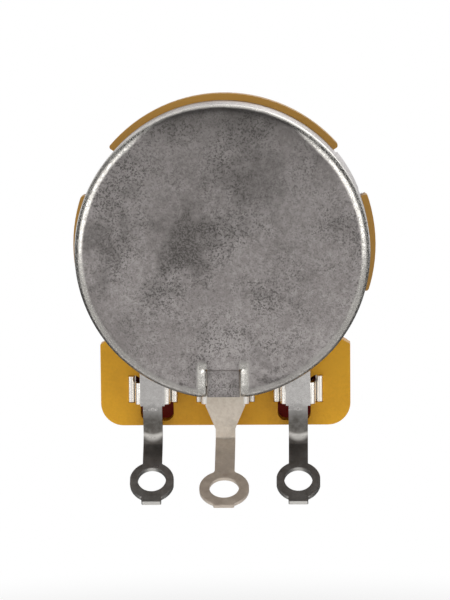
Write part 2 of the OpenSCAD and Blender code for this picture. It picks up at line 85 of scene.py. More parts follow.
class Wire:
    """A node socket that takes part in arithmetic, each operator adding its Math node."""

    def __init__(self, paint: "Paint", socket: bpy.types.NodeSocket) -> None:
        """Keeps the socket and the paint that its nodes go into."""
        self.paint = paint
        self.socket = socket

    def _maths(self, operation: str, first: "Wire | float", second: "Wire | float" = 0.0) -> "Wire":
        """Adds one Math node.

        Args:
            operation: The node's operation.
            first: Its first value.
            second: Its second value.

        Returns:
            The node's result.
        """
        return self.paint.node("ShaderNodeMath", {"operation": operation}, {0: first, 1: second}).value(0)

    def __add__(self, other: "Wire | float") -> "Wire":
        """Adds."""
        return self._maths("ADD", self, other)

    def __radd__(self, other: float) -> "Wire":
        """Adds to a number."""
        return self._maths("ADD", other, self)

    def __sub__(self, other: "Wire | float") -> "Wire":
        """Subtracts."""
        return self._maths("SUBTRACT", self, other)

    def __rsub__(self, other: float) -> "Wire":
        """Subtracts from a number."""
        return self._maths("SUBTRACT", other, self)

    def __mul__(self, other: "Wire | float") -> "Wire":
        """Multiplies."""
        return self._maths("MULTIPLY", self, other)

    def most(self, other: "Wire | float") -> "Wire":
        """Returns the larger of two values."""
        return self._maths("MAXIMUM", self, other)

    def size(self) -> "Wire":
        """Returns the value without its sign."""
        return self._maths("ABSOLUTE", self)

    def eased(self, span: Span) -> "Wire":
        """Goes smoothly from 0 to 1.

        Args:
            span: The values that give 0 and 1.

        Returns:
            The eased value.
        """
        settings = {"interpolation_type": "SMOOTHSTEP"}
        inputs = {"Value": self, "From Min": span[0], "From Max": span[1]}
        return self.paint.node("ShaderNodeMapRange", settings, inputs).value(0)


class Step:
    """A node that has been placed, whose outputs can be taken as wires."""

    def __init__(self, paint: "Paint", placed: bpy.types.Node) -> None:
        """Keeps the node and its paint."""
        self.paint = paint
        self.placed = placed

    def value(self, output: int | str) -> Wire:
        """Returns one output as a wire."""
        return Wire(self.paint, self.placed.outputs[output])


class Paint:
    """A node tree with the patterns that the finishes share."""

    def __init__(self, tree: bpy.types.NodeTree) -> None:
        """Clears the tree."""
        self.tree = tree
        self.tree.nodes.clear()

    def node(self, kind: str, settings: dict[str, object], inputs: dict[int | str, object]) -> Step:
        """Adds one node.

        Args:
            kind: The node's type.
            settings: Its settings, set before its sockets.
            inputs: Values or wires for its sockets, by name or place.

        Returns:
            The placed node.
        """
        placed = self.tree.nodes.new(kind)
        for name, setting in settings.items():
            setattr(placed, name, setting)
        for name, given in inputs.items():
            if isinstance(given, Wire):
                self.tree.links.new(given.socket, placed.inputs[name])
            else:
                placed.inputs[name].default_value = given
        return Step(self, placed)

    def place(self, turn: Place = (0, 0, 0), stretch: Place = (1, 1, 1)) -> Wire:
        """Gives the point on the object, turned and stretched.

        Args:
            turn: Angles in degrees.
            stretch: Scale along each axis after the turn.

        Returns:
            The point as a vector.
        """
        point = self.node("ShaderNodeTexCoord", {}, {}).value("Object")
        angles = tuple(math.radians(angle) for angle in turn)
        turned = self.node("ShaderNodeMapping", {}, {"Vector": point, "Rotation": angles}).value(0)
        return self.node("ShaderNodeMapping", {}, {"Vector": turned, "Scale": stretch}).value(0)

    def noise(self, pattern: Noise, at: Wire | None = None) -> Wire:
        """Adds a noise pattern.

        Args:
            pattern: The pattern.
            at: Point to read it at, which is the point on the object where none is given.

        Returns:
            Its value, about 0.5 on average, or eased over its span where it has one.
        """
        inputs = {"Vector": at or self.place(), "Scale": 1 / (pattern.size * MM), "Detail": pattern.detail,
                  "Roughness": pattern.rough}
        value = self.node("ShaderNodeTexNoise", {}, inputs).value("Fac")
        return value.eased(pattern.span) if pattern.span else value

    def blend(self, first: "Colour | Wire", second: "Colour | Wire", share: Wire | float) -> Wire:
        """Mixes two colours.

        Args:
            first: Colour at 0.
            second: Colour at 1.
            share: Share of the second.

        Returns:
            The mixed colour.
        """
        ends = [end if isinstance(end, Wire) else (*end, 1.0) for end in (first, second)]
        settings = {"data_type": "RGBA", "clamp_factor": True}
        return self.node("ShaderNodeMix", settings, {0: share, 6: ends[0], 7: ends[1]}).value(2)

    def relief(self, height: Wire, depth: float) -> Wire:
        """Turns a height into a normal.

        Args:
            height: Height from 0 to 1.
            depth: Depth of the relief in mm.

        Returns:
            The normal.
        """
        inputs = {"Height": height, "Distance": depth * MM, "Strength": 1.0}
        return self.node("ShaderNodeBump", {}, inputs).value(0)

    def along(self, axis: str) -> Wire:
        """Measures a place along one axis of the row frame.

        Args:
            axis: X, Y or Z.

        Returns:
            The coordinate in mm.
        """
        return self.node("ShaderNodeSeparateXYZ", {}, {0: self.place()}).value(axis) * (1 / MM)

    def away(self, x: float, up: float) -> Wire:
        """Measures the distance from a line along the shaft.

        Args:
            x: The line's place to the right in mm.
            up: Its height in mm.

        Returns:
            The distance in mm.
        """
        inputs = {0: self.place((0, 0, 0), (1 / MM, 0.0, 1 / MM)), 1: (x, 0.0, up)}
        return self.node("ShaderNodeVectorMath", {"operation": "DISTANCE"}, inputs).value("Value")

    def surface(self, inputs: dict[int | str, object]) -> None:
        """Ends a material with one principled shader that has these inputs."""
        shader = self.node("ShaderNodeBsdfPrincipled", {}, inputs).value(0)
        self.node("ShaderNodeOutputMaterial", {}, {0: shader})


def new_material(name: str) -> tuple[bpy.types.Material, Paint]:
    """Starts a material.

    Args:
        name: Its name.

    Returns:
        The material and its paint.
    """
    material = bpy.data.materials.new(name)
    material.use_nodes = True
    return material, Paint(material.node_tree)


def even_glow(name: str, tone: float) -> bpy.types.Material:
    """Makes a material that shows one even grey.

    Args:
        name: Its name.
        tone: The grey.

    Returns:
        The material.
    """
    material, paint = new_material(name)
    glow = paint.node("ShaderNodeEmission", {}, {0: (tone, tone, tone, 1.0), 1: 1.0}).value(0)
    paint.node("ShaderNodeOutputMaterial", {}, {0: glow})
    return material


@dataclass(frozen=True)
class TinnedSteel:
    """Drawn or blanked metal with a clouded tin coat, peppered with dark grains and finely scratched.

    Lengths are in mm. Each span holds the values that read as 0 and 1. A scratch way is a direction in
    degrees and the noise value above which a scratch shows.
    """

    name: str
    bright: Colour = (0.49, 0.455, 0.445)
    dull: Colour = (0.315, 0.288, 0.28)
    # Dark colour of the grains and smudges; the cover also uses it for its painted shade.
    soot_and_shade: Colour = (0.07, 0.065, 0.06)
    # Bright colour of the scratches; the cover and the lugs also use it for painted highlights.
    scratch_and_highlight: Colour = (0.62, 0.60, 0.56)
    polish: float = 0.30
    clouding: float = 0.12
    pepper: float = 0.8
    smudging: float = 0.35
    relief: float = 0.035
    metal: float = 1.0
    clouds: Noise = Noise(6.2, 6.0, 0.62)
    cloud_share: float = 0.55
    cloud_rough: Span = (0.3, 0.7)
    fine: Noise = Noise(0.34, 3.0, 0.65)
    tones: Span = (0.38, 0.62)
    smudged: Noise = Noise(3.4, 5.0, 0.62, (0.50, 0.68))
    grains: Noise = Noise(0.15, 4.0, 0.72, (0.51, 0.57))
    grains_least: float = 0.36
    dense: Noise = Noise(3.2, 4.0, 0.6, (0.40, 0.66))
    dense_share: float = 0.54
    grain_rough: float = 0.2
    grain_pit: float = 0.4
    scratch: Noise = Noise(0.11, 1.0, 0.5)
    scratch_ways: tuple[Point, ...] = ((24, 0.66), (-38, 0.68), (81, 0.67))
    scratch_stretch: Place = (0.04, 1.0, 1.0)
    scratch_soft: float = 0.04
    scratch_share: float = 0.12

    def material(self) -> bpy.types.Material:
        """Builds the finish.

        Returns:
            The material.
        """
        material, paint = new_material(self.name)
        clouds = paint.noise(self.clouds)
        fine = paint.noise(self.fine)
        tone = (clouds * self.cloud_share + fine * (1 - self.cloud_share)).eased(self.tones)
        density = self.grains_least + paint.noise(self.dense) * self.dense_share
        pepper = paint.noise(self.grains) * density * self.pepper
        colour = paint.blend(self.dull, self.bright, tone)
        colour = paint.blend(colour, self.soot_and_shade, paint.noise(self.smudged) * self.smudging)
        colour = paint.blend(colour, self.scratch_and_highlight, self._scratches(paint) * self.scratch_share)
        colour = paint.blend(colour, self.soot_and_shade, pepper)
        rough = self.polish + clouds.eased(self.cloud_rough) * self.clouding + pepper * self.grain_rough
        colour, rough = self.aged(paint, colour, rough)
        height = fine * 0.5 + clouds * 0.5 - pepper * self.grain_pit
        normal = paint.relief(height, self.relief)
        paint.surface({"Base Color": colour, "Roughness": rough, "Metallic": self.metal, "Normal": normal})
        return material

    def aged(self, paint: Paint, colour: Wire, rough: Wire) -> tuple[Wire, Wire]:
        """Leaves the coat as it is, for parts without painted highlights, painted shade or tarnishing.

        Args:
            paint: The paint to add nodes to; not used here.
            colour: The coat's colour.
            rough: Its roughness.

        Returns:
            The colour and the roughness.
        """
        return colour, rough

    def _scratches(self, paint: Paint) -> Wire:
        """Draws the fine scratches.

        Args:
            paint: The paint to add them to.

        Returns:
            1 on a scratch, and more where scratches cross.
        """
        ways = []
        for turn, rare in self.scratch_ways:
            at = paint.place((0, turn, 0), self.scratch_stretch)
            ways.append(paint.noise(self.scratch, at).eased((rare, rare + self.scratch_soft)))
        return sum(ways, start=0.0)


@dataclass(frozen=True)
class Smudge:
    """A dark cloud on the back of the cover, lengths in mm."""

    x: float
    up: float
    radius: float
    share: float


@dataclass(frozen=True)
class CoverTin(TinnedSteel):
    """The cover's coat: painted highlights along the drawn edge and the rolled ones, and darker towards the
    top, with painted dark reflection along the top of the rim.
    """

    smudges: tuple[Smudge, ...] = ()
    smudge_ragged: float = 8.0
    smudge_core: float = 0.25
    ragged: Noise = Noise(1.8, 4.0, 0.6)
    specks: Noise = Noise(0.17, 4.0, 0.7, (0.44, 0.56))
    specks_least: float = 0.55
    specks_share: float = 0.9
    # Darker towards the top; the upper span is painted dark reflection along the top of the rim.
    darker_up: Span = (-11.0, 13.0)
    darker_share: float = 0.5
    top_shade_up: Span = (8.0, 11.6)
    top_shade_share: float = 0.6
    # The spans from here on shape the painted highlight along the drawn edge and the rolled edges beside the
    # stop tab.
    rim: Span = (11.0, 11.25)
    rim_ragged: float = 0.3
    rim_top: Span = (8.0, 11.0)
    rim_higher: float = 0.5
    rim_foot: Span = (-3.0, -9.0)
    rim_duller: float = 0.4
    rolled_inner: Span = (1.2, 1.4)
    rolled_outer: Span = (2.2, 1.9)
    rolled_up: Span = (-8.5, -9.1)
    highlight_depth: Span = (9.7, 10.1)
    highlight_least: float = 0.6
    highlight_share: float = 0.6
    highlight_smoother: float = 0.14

    def aged(self, paint: Paint, colour: Wire, rough: Wire) -> tuple[Wire, Wire]:
        """Adds the painted highlights on the drawn and rolled edges, the smudges, and the darkening towards
        the top with its painted dark reflection.

        Args:
            paint: The paint to add nodes to.
            colour: The coat's colour.
            rough: Its roughness.

        Returns:
            The colour and the roughness.
        """
        up = paint.along("Z")
        aside = paint.along("X").size()
        ragged = paint.noise(self.ragged)
        # Painted highlight: a ring along the drawn edge, further out towards the top.
        beyond = paint.away(0, 0) - up.eased(self.rim_top) * self.rim_higher
        rim = (beyond + (ragged - 0.5) * self.rim_ragged).eased(self.rim)
        # Darkening, painted dark reflection at the top and smudges, kept off the ring's painted highlight.
        colour = paint.blend(colour, self.soot_and_shade, self._darkening(paint, up, ragged) * (1 - rim))
        rolled = aside.eased(self.rolled_inner) * aside.eased(self.rolled_outer) * up.eased(self.rolled_up)
        # Painted highlight on the ring and the rolled edges, weaker towards the foot, on the back only.
        rim_and_roll_highlight = (rim * (1 - up.eased(self.rim_foot) * self.rim_duller)).most(rolled)
        rim_and_roll_highlight = rim_and_roll_highlight * (paint.along("Y") * -1.0).eased(self.highlight_depth)
        colour = paint.blend(colour, self.scratch_and_highlight, rim_and_roll_highlight * (self.highlight_least + ragged * self.highlight_share))
        return colour, rough - rim_and_roll_highlight * self.highlight_smoother

    def _darkening(self, paint: Paint, up: Wire, ragged: Wire) -> Wire:
        """Darkens towards the top, paints dark reflection along the top of the rim, and adds the smudges.

        Args:
            paint: The paint to add nodes to.
            up: Height in mm.
            ragged: The pattern that makes edges ragged.

        Returns:
            Share of the dark colour.
        """
        # Darker towards the top, with painted dark reflection along the top of the rim.
        darkening = up.eased(self.darker_up) * self.darker_share + up.eased(self.top_shade_up) * ragged * self.top_shade_share
        specks = paint.noise(self.specks) * self.specks_share + self.specks_least
        for smudge in self.smudges:
            away = paint.away(smudge.x, smudge.up) + (ragged - 0.5) * self.smudge_ragged
            cloud = away.eased((smudge.radius, smudge.radius * self.smudge_core))
            darkening = darkening + cloud * specks * smudge.share
        return darkening


@dataclass(frozen=True)
class LugTin(TinnedSteel):
    """A lug's coat, darkened below its shoulder, part tarnishing and part painted dark reflection, with
    painted highlights on the bend's crest, the saddle's raised edges and the eyelet's cut edges.

    The eyelet leans: its face is level where height + lean * depth is even, and cut is told from that.
    """

    # Darkening of the neck and eyelet: part tarnishing, part painted dark reflection.
    tarnish_and_shade: Colour = (0.16, 0.148, 0.132)
    # Colour of the painted highlights on the saddle's raised edges and the crest.
    lip_highlight: Colour = (0.98, 0.94, 0.88)
    ragged: Noise = Noise(0.9, 5.0, 0.65)
    middle: float = 5.95
    wall: Span = (0.95, 1.05)
    wall_up: Span = (-13.2, -13.0)
    neck: Span = (-12.6, -14.6)
    neck_share: float = 1.0
    eyelet: Span = (-15.9, -16.25)
    eyelet_share: float = 0.76
    tarnish_shade_least: float = 0.3
    tarnish_shade_share: float = 1.2
    tarnish_shade_rough: float = 0.08
    # The crest's spans shape a painted highlight along the bend.
    crest: float = -15.8
    crest_half: float = 0.4
    crest_bow: float = 0.45
    crest_sides: Span = (0.2, 0.95)
    crest_dim: float = 0.7
    crest_clear: float = 0.95
    crest_highlight_share: float = 0.8
    lean: float = 1.0124
    # The cut spans place a painted highlight on the eyelet's cut edges.
    cut: Span = (-11.37, -11.44)
    cut_up: Span = (-17.2, -17.5)
    cut_highlight_least: float = 0.1

    def aged(self, paint: Paint, colour: Wire, rough: Wire) -> tuple[Wire, Wire]:
        """Adds the darkening, part tarnishing and part painted dark reflection, and the painted highlights on
        the crest, the saddle's raised edges and the cut edges.

        Args:
            paint: The paint to add nodes to.
            colour: The coat's colour.
            rough: Its roughness.

        Returns:
            The colour and the roughness.
        """
        up = paint.along("Z")
        across = (paint.along("X").size() - self.middle).size()
        ragged = paint.noise(self.ragged)
        # Painted highlight along the bend's crest, bowed, and dimmer towards the sides.
        crest = (up - across * across * self.crest_bow - self.crest).size().eased((self.crest_half, 0.0))
        crest = crest * (1 - across.eased(self.crest_sides) * self.crest_dim)
        below = up.eased(self.eyelet)
        # Neck and eyelet darkened, part tarnishing and part painted dark reflection, less under the crest's
        # painted highlight.
        share = up.eased(self.neck) * self.neck_share * (1 - below) + below * self.eyelet_share
        share = share * (1 - crest * self.crest_clear) * (self.tarnish_shade_least + ragged * self.tarnish_shade_share)
        colour = paint.blend(colour, self.tarnish_and_shade, share)
        # Painted highlight on the saddle's raised edges and on the crest.
        lip_highlights = across.eased(self.wall) * up.eased(self.wall_up)
        colour = paint.blend(colour, self.lip_highlight, lip_highlights.most(crest * self.crest_highlight_share))
        # Painted highlight on the eyelet's cut edges.
        cut = (up - paint.along("Y") * self.lean).eased(self.cut) * up.eased(self.cut_up)
        colour = paint.blend(colour, self.scratch_and_highlight, cut * (self.cut_highlight_least + ragged))
        return colour, rough + share * self.tarnish_shade_rough


@dataclass(frozen=True)
class Laminate:
    """Resin-bonded sheet with a fine mottle, darker in its middle and with painted shade above. Lengths are
    in mm.
    """

    name: str
    face: Colour = (0.90, 0.455, 0.018)
    deep: Colour = (0.68, 0.315, 0.010)
    painted_shade: Colour = (0.50, 0.265, 0.055)
    gloss: float = 0.42
    grain: Noise = Noise(0.22, 3.0, 0.6)
    grain_rough: float = 0.18
    mottle: Noise = Noise(2.4, 4.0, 0.55)
    mottle_share: float = 0.6
    mottle_tones: Span = (0.40, 0.70)
    mottle_deep: float = 0.45
    middle: Span = (9.5, 5.5)
    middle_deep: float = 0.6
    painted_shade_up: Span = (-7.5, -4.5)
    relief: float = 0.012
    reflection: float = 0.3

    def material(self) -> bpy.types.Material:
        """Builds the finish.

        Returns:
            The material.
        """
        material, paint = new_material(self.name)
        grain = paint.noise(self.grain)
        mottle = paint.noise(self.mottle) * self.mottle_share + grain * (1 - self.mottle_share)
        middle = paint.along("X").size().eased(self.middle) * self.middle_deep
        deep = mottle.eased(self.mottle_tones) * self.mottle_deep + middle
        colour = paint.blend(self.face, self.deep, deep)
        # Painted shade on the board's upper part, the arcs round the cover.
        colour = paint.blend(colour, self.painted_shade, paint.along("Z").eased(self.painted_shade_up))
        paint.surface({"Base Color": colour, "Roughness": self.gloss + grain * self.grain_rough,
                       "Normal": paint.relief(grain, self.relief), "Specular IOR Level": self.reflection})
        return material


@dataclass(frozen=True)
class Turned:
    """Turned, plated or moulded stock with fine tool marks round the shaft's axis. Lengths are in mm."""

    name: str
    colour: Colour
    shade: Colour
    metal: float = 1.0
    rough: float = 0.28
    marks: float = 0.01
    turning: Noise = Noise(0.16, 2.0, 0.5)
    turning_stretch: Place = (0.05, 1.0, 0.05)
    stain: Noise = Noise(2.2, 4.0, 0.55)
    stain_shade: Span = (0.42, 0.66)
    stain_dull: Span = (0.35, 0.7)
    stain_rough: float = 0.14

    def material(self) -> bpy.types.Material:
        """Builds the finish.

        Returns:
            The material.
        """
        material, paint = new_material(self.name)
        stain = paint.noise(self.stain)
        turning = paint.noise(self.turning, paint.place((0, 0, 0), self.turning_stretch))
        paint.surface({"Base Color": paint.blend(self.colour, self.shade, stain.eased(self.stain_shade)),
                       "Roughness": self.rough + stain.eased(self.stain_dull) * self.stain_rough,
                       "Metallic": self.metal, "Normal": paint.relief(turning, self.marks)})
        return material


COVER_TIN = CoverTin("tin_plated_cover", smudges=(
    Smudge(-2.9, 0.7, 3.4, 0.45), Smudge(-9.8, 1.5, 2.4, 0.30), Smudge(-9.6, -2.3, 1.8, 0.15),
    Smudge(-2.8, -10.2, 1.4, 0.5), Smudge(2.8, -10.2, 1.4, 0.5), Smudge(3.0, 5.4, 3.6, 0.25),
    Smudge(-7.0, -6.6, 2.6, 0.12)))
LUG_TIN = LugTin(
    "tinned_lug_strip", bright=(0.69, 0.67, 0.65), dull=(0.56, 0.54, 0.525), soot_and_shade=(0.2, 0.18, 0.16),
    scratch_and_highlight=(0.8, 0.78, 0.74), polish=0.22, clouding=0.08, pepper=0.14, relief=0.012)
LUG_NICKEL = LugTin(
    "nickel_lug_strip", bright=(0.84, 0.75, 0.64), dull=(0.72, 0.62, 0.51), soot_and_shade=(0.3, 0.24, 0.19),
    scratch_and_highlight=(0.8, 0.7, 0.6), polish=0.38, clouding=0.08, pepper=0.10, relief=0.008, metal=0.4,
    tarnish_and_shade=(0.36, 0.29, 0.235), middle=0.0, wall=(1.45, 1.55), neck_share=0.0, eyelet=(-15.7, -18.1),
    eyelet_share=0.84, crest_half=0.01, lean=0.642, cut=(-12.55, -12.62))
PLATE_ZINC = TinnedSteel(
    "zinc_plate", bright=(0.50, 0.49, 0.47), dull=(0.36, 0.35, 0.34), soot_and_shade=(0.1, 0.09, 0.08), polish=0.32,
    pepper=0.4)
BOARD = Laminate("ochre_laminate")
# The third colour is the painted shade above.
RED_FIBRE = Laminate("dark_red_fibre", (0.45, 0.032, 0.02), (0.30, 0.02, 0.013), (0.2, 0.02, 0.016), 0.5)
CARBON = Turned("carbon_ink", (0.018, 0.018, 0.02), (0.03, 0.03, 0.03), 0.0, 0.42, 0.002)
SILVER = Turned("silver_ink", (0.62, 0.61, 0.58), (0.48, 0.46, 0.43), 0.8, 0.4, 0.002)
BUSHING_PLATE = Turned("plated_bushing", (0.68, 0.66, 0.62), (0.5, 0.48, 0.44))
SHAFT_PLATE = Turned("plated_shaft", (0.7, 0.68, 0.62), (0.54, 0.5, 0.44), 1.0, 0.22)
SPRING = Turned("spring_steel", (0.18, 0.175, 0.17), (0.1, 0.1, 0.1), 1.0, 0.35)
MOULDING = Turned("moulded_rotor", (0.03, 0.03, 0.032), (0.045, 0.045, 0.045), 0.0, 0.45)
BRONZE = Turned("contact_spring", (0.62, 0.42, 0.2), (0.45, 0.29, 0.14), 1.0, 0.3)


def new_object(name: str, mesh: bmesh.types.BMesh, material: bpy.types.Material) -> bpy.types.Object:
    """Puts a worked mesh into the scene and frees it.

    Args:
        name: The object's name.
        mesh: The mesh, in metres.
        material: Its finish.

    Returns:
        The object.
    """
    data = bpy.data.meshes.new(name)
    mesh.to_mesh(data)
    mesh.free()
    data.materials.append(material)
    made = bpy.data.objects.new(name, data)
    bpy.context.scene.collection.objects.link(made)
    return made


def stand(thing: bpy.types.Object, at: Place, facing: Place) -> None:
    """Stands an object somewhere, its own Z axis along a direction.

    Args:
        thing: The object.
        at: Its place in metres.
        facing: The direction.
    """
    thing.location = at
    thing.rotation_mode = "QUATERNION"
    thing.rotation_quaternion = Vector(facing).to_track_quat("Z", "Y")


class Blank:
    """A mesh on the bench, worked with bmesh operators and finished as a piece."""

    def __init__(self) -> None:
        """Starts empty."""
        self.mesh = bmesh.new()

    @classmethod
    def from_node(cls, node: str) -> "Blank":
        """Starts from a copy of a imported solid, its triangles merged into faces.

        Args:
            node: The node's name.

        Returns:
            The blank, in the drawing frame.
        """
        blank = cls()
        blank.mesh.from_mesh(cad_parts[node].data)
        bmesh.ops.remove_doubles(blank.mesh, verts=blank.mesh.verts, dist=MERGE * MM)
        bmesh.ops.transform(blank.mesh, matrix=STAND_UP.inverted(), verts=blank.mesh.verts)
        bmesh.ops.dissolve_limit(
            blank.mesh, angle_limit=math.radians(1), verts=blank.mesh.verts, edges=blank.mesh.edges)
        return blank

    def spin(self, profile: Sequence[Point], steps: int, turns: int = 1, pitch: float = 0.0) -> None:
        """Turns a profile round the shaft's axis.

        Args:
            profile: Points as radius and depth.
            steps: Number of steps in a turn.
            turns: Number of turns.
            pitch: Depth gained in a turn, 0 for a form that closes.
        """
        points = [self.mesh.verts.new((r, 0, z)) for r, z in profile]
        edges = [self.mesh.edges.new(pair) for pair in zip(points, points[1:])]
        bmesh.ops.spin(self.mesh, geom=points + edges, cent=(0, 0, 0), axis=(0, 0, 1), angle=math.tau * turns,
                       steps=steps * turns, dvec=(0, 0, pitch / steps), use_merge=not pitch)
        bmesh.ops.remove_doubles(self.mesh, verts=self.mesh.verts, dist=NEAR if pitch else MERGE)

    def cut(self, at: Place, normal: Place, where: Region) -> None:
        """Cuts the faces of a region along a plane.

        Args:
            at: A point of the plane.
            normal: The plane's normal.
            where: Tells whether a face's centre lies in the region.
        """
        faces = [face for face in self.mesh.faces if where(face.calc_center_median())]
        edges = {edge for face in faces for edge in face.edges}
        points = {point for face in faces for point in face.verts}
        bmesh.ops.bisect_plane(self.mesh, geom=[*points, *edges, *faces], dist=MERGE, plane_co=at,
                               plane_no=normal)

    def drop(self, where: Region) -> None:
        """Removes the faces of a region.

        Args:
            where: Tells whether a face's centre lies in the region.
        """
        faces = [face for face in self.mesh.faces if where(face.calc_center_median())]
        bmesh.ops.delete(self.mesh, geom=faces, context="FACES")

    def pull(self, where: Region, moves: Sequence[Place]) -> None:
        """Draws open edges out into strips.

        Args:
            where: Tells whether an open edge's middle is one to draw out.
            moves: The moves, one strip after another.
        """
        edges = [edge for edge in self.mesh.edges
                 if edge.is_boundary and where((edge.verts[0].co + edge.verts[1].co) / 2)]
        for move in moves:
            drawn = bmesh.ops.extrude_edge_only(self.mesh, edges=edges)["geom"]
            points = [item for item in drawn if isinstance(item, bmesh.types.BMVert)]
            edges = [item for item in drawn if isinstance(item, bmesh.types.BMEdge)
                     and item.verts[0] in points and item.verts[1] in points]
            bmesh.ops.translate(self.mesh, verts=points, vec=move)

    def round(self, chosen: Callable[[bmesh.types.BMEdge], bool], radius: float, steps: int) -> None:
        """Rounds edges.

        Args:
            chosen: Tells whether an edge is one to round.
            radius: Width of the rounding in mm.
            steps: Number of steps across it.
        """
        edges = [edge for edge in self.mesh.edges if chosen(edge)]
        bmesh.ops.bevel(self.mesh, geom=edges, offset=radius, segments=steps, affect="EDGES", profile=0.5,
                        material=-1)

    def finished(self, name: str, body: Body, slot: str, nodes: Sequence[str],
                 material: bpy.types.Material, edge: float, sharp: float = 35.0,
                 sheet: float = 0.0) -> bpy.types.Object:
        """Stands the blank up as a piece with softened edges.

        Args:
            name: The piece's name.
            body: The body that it rides on.
            slot: The record's material slot; not used.
            nodes: The nodes that it stands for.
            material: Its finish.
            edge: Width of the softened edges in mm.
            sharp: Angle in degrees from which an edge is softened.
            sheet: Thickness in mm that an open skin gets on its inner side.

        Returns:
            The piece.
        """
        bmesh.ops.transform(self.mesh, matrix=STAND_UP, verts=self.mesh.verts)
        piece = new_object(name, self.mesh, material)
        piece.data.shade_smooth()
        piece.data.set_sharp_from_angle(angle=math.radians(sharp))
        if sheet:
            thicken = piece.modifiers.new("sheet", "SOLIDIFY")
            thicken.thickness = sheet * MM
            thicken.offset = -1
            thicken.use_even_offset = True
        if edge:
            soften = piece.modifiers.new("edges", "BEVEL")
            soften.width = edge * MM
            soften.segments = 2
            soften.limit_method = "ANGLE"
            soften.angle_limit = math.radians(sharp)
            weigh = piece.modifiers.new("normals", "WEIGHTED_NORMAL")
            weigh.keep_sharp = True
        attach(piece, body.value)
        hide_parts(*nodes)
        return piece


def arc(centre: Point, radius: float, start: float, end: float, steps: int) -> list[Point]:
    """Lists the points of an arc.

    Args:
        centre: Its centre.
        radius: Its radius.
        start: Its first angle in degrees.
        end: Its last angle in degrees.
        steps: Number of steps.

    Returns:
        The points.
    """
    angles = [math.radians(start + (end - start) * step / steps) for step in range(steps + 1)]
    return [(centre[0] + radius * math.cos(a), centre[1] + radius * math.sin(a)) for a in angles]


@dataclass
class Copied:
    """A piece that keeps its solid's form and gets soft edges and a finish."""

    node: str
    body: Body
    slot: str
    material: bpy.types.Material
    edge: float = 0.05

    def build(self) -> bpy.types.Object:
        """Builds the piece.

        Returns:
            The piece.
        """
        return Blank.from_node(self.node).finished(
            f"{self.node}_dressed", self.body, self.slot, [self.node], self.material, self.edge)


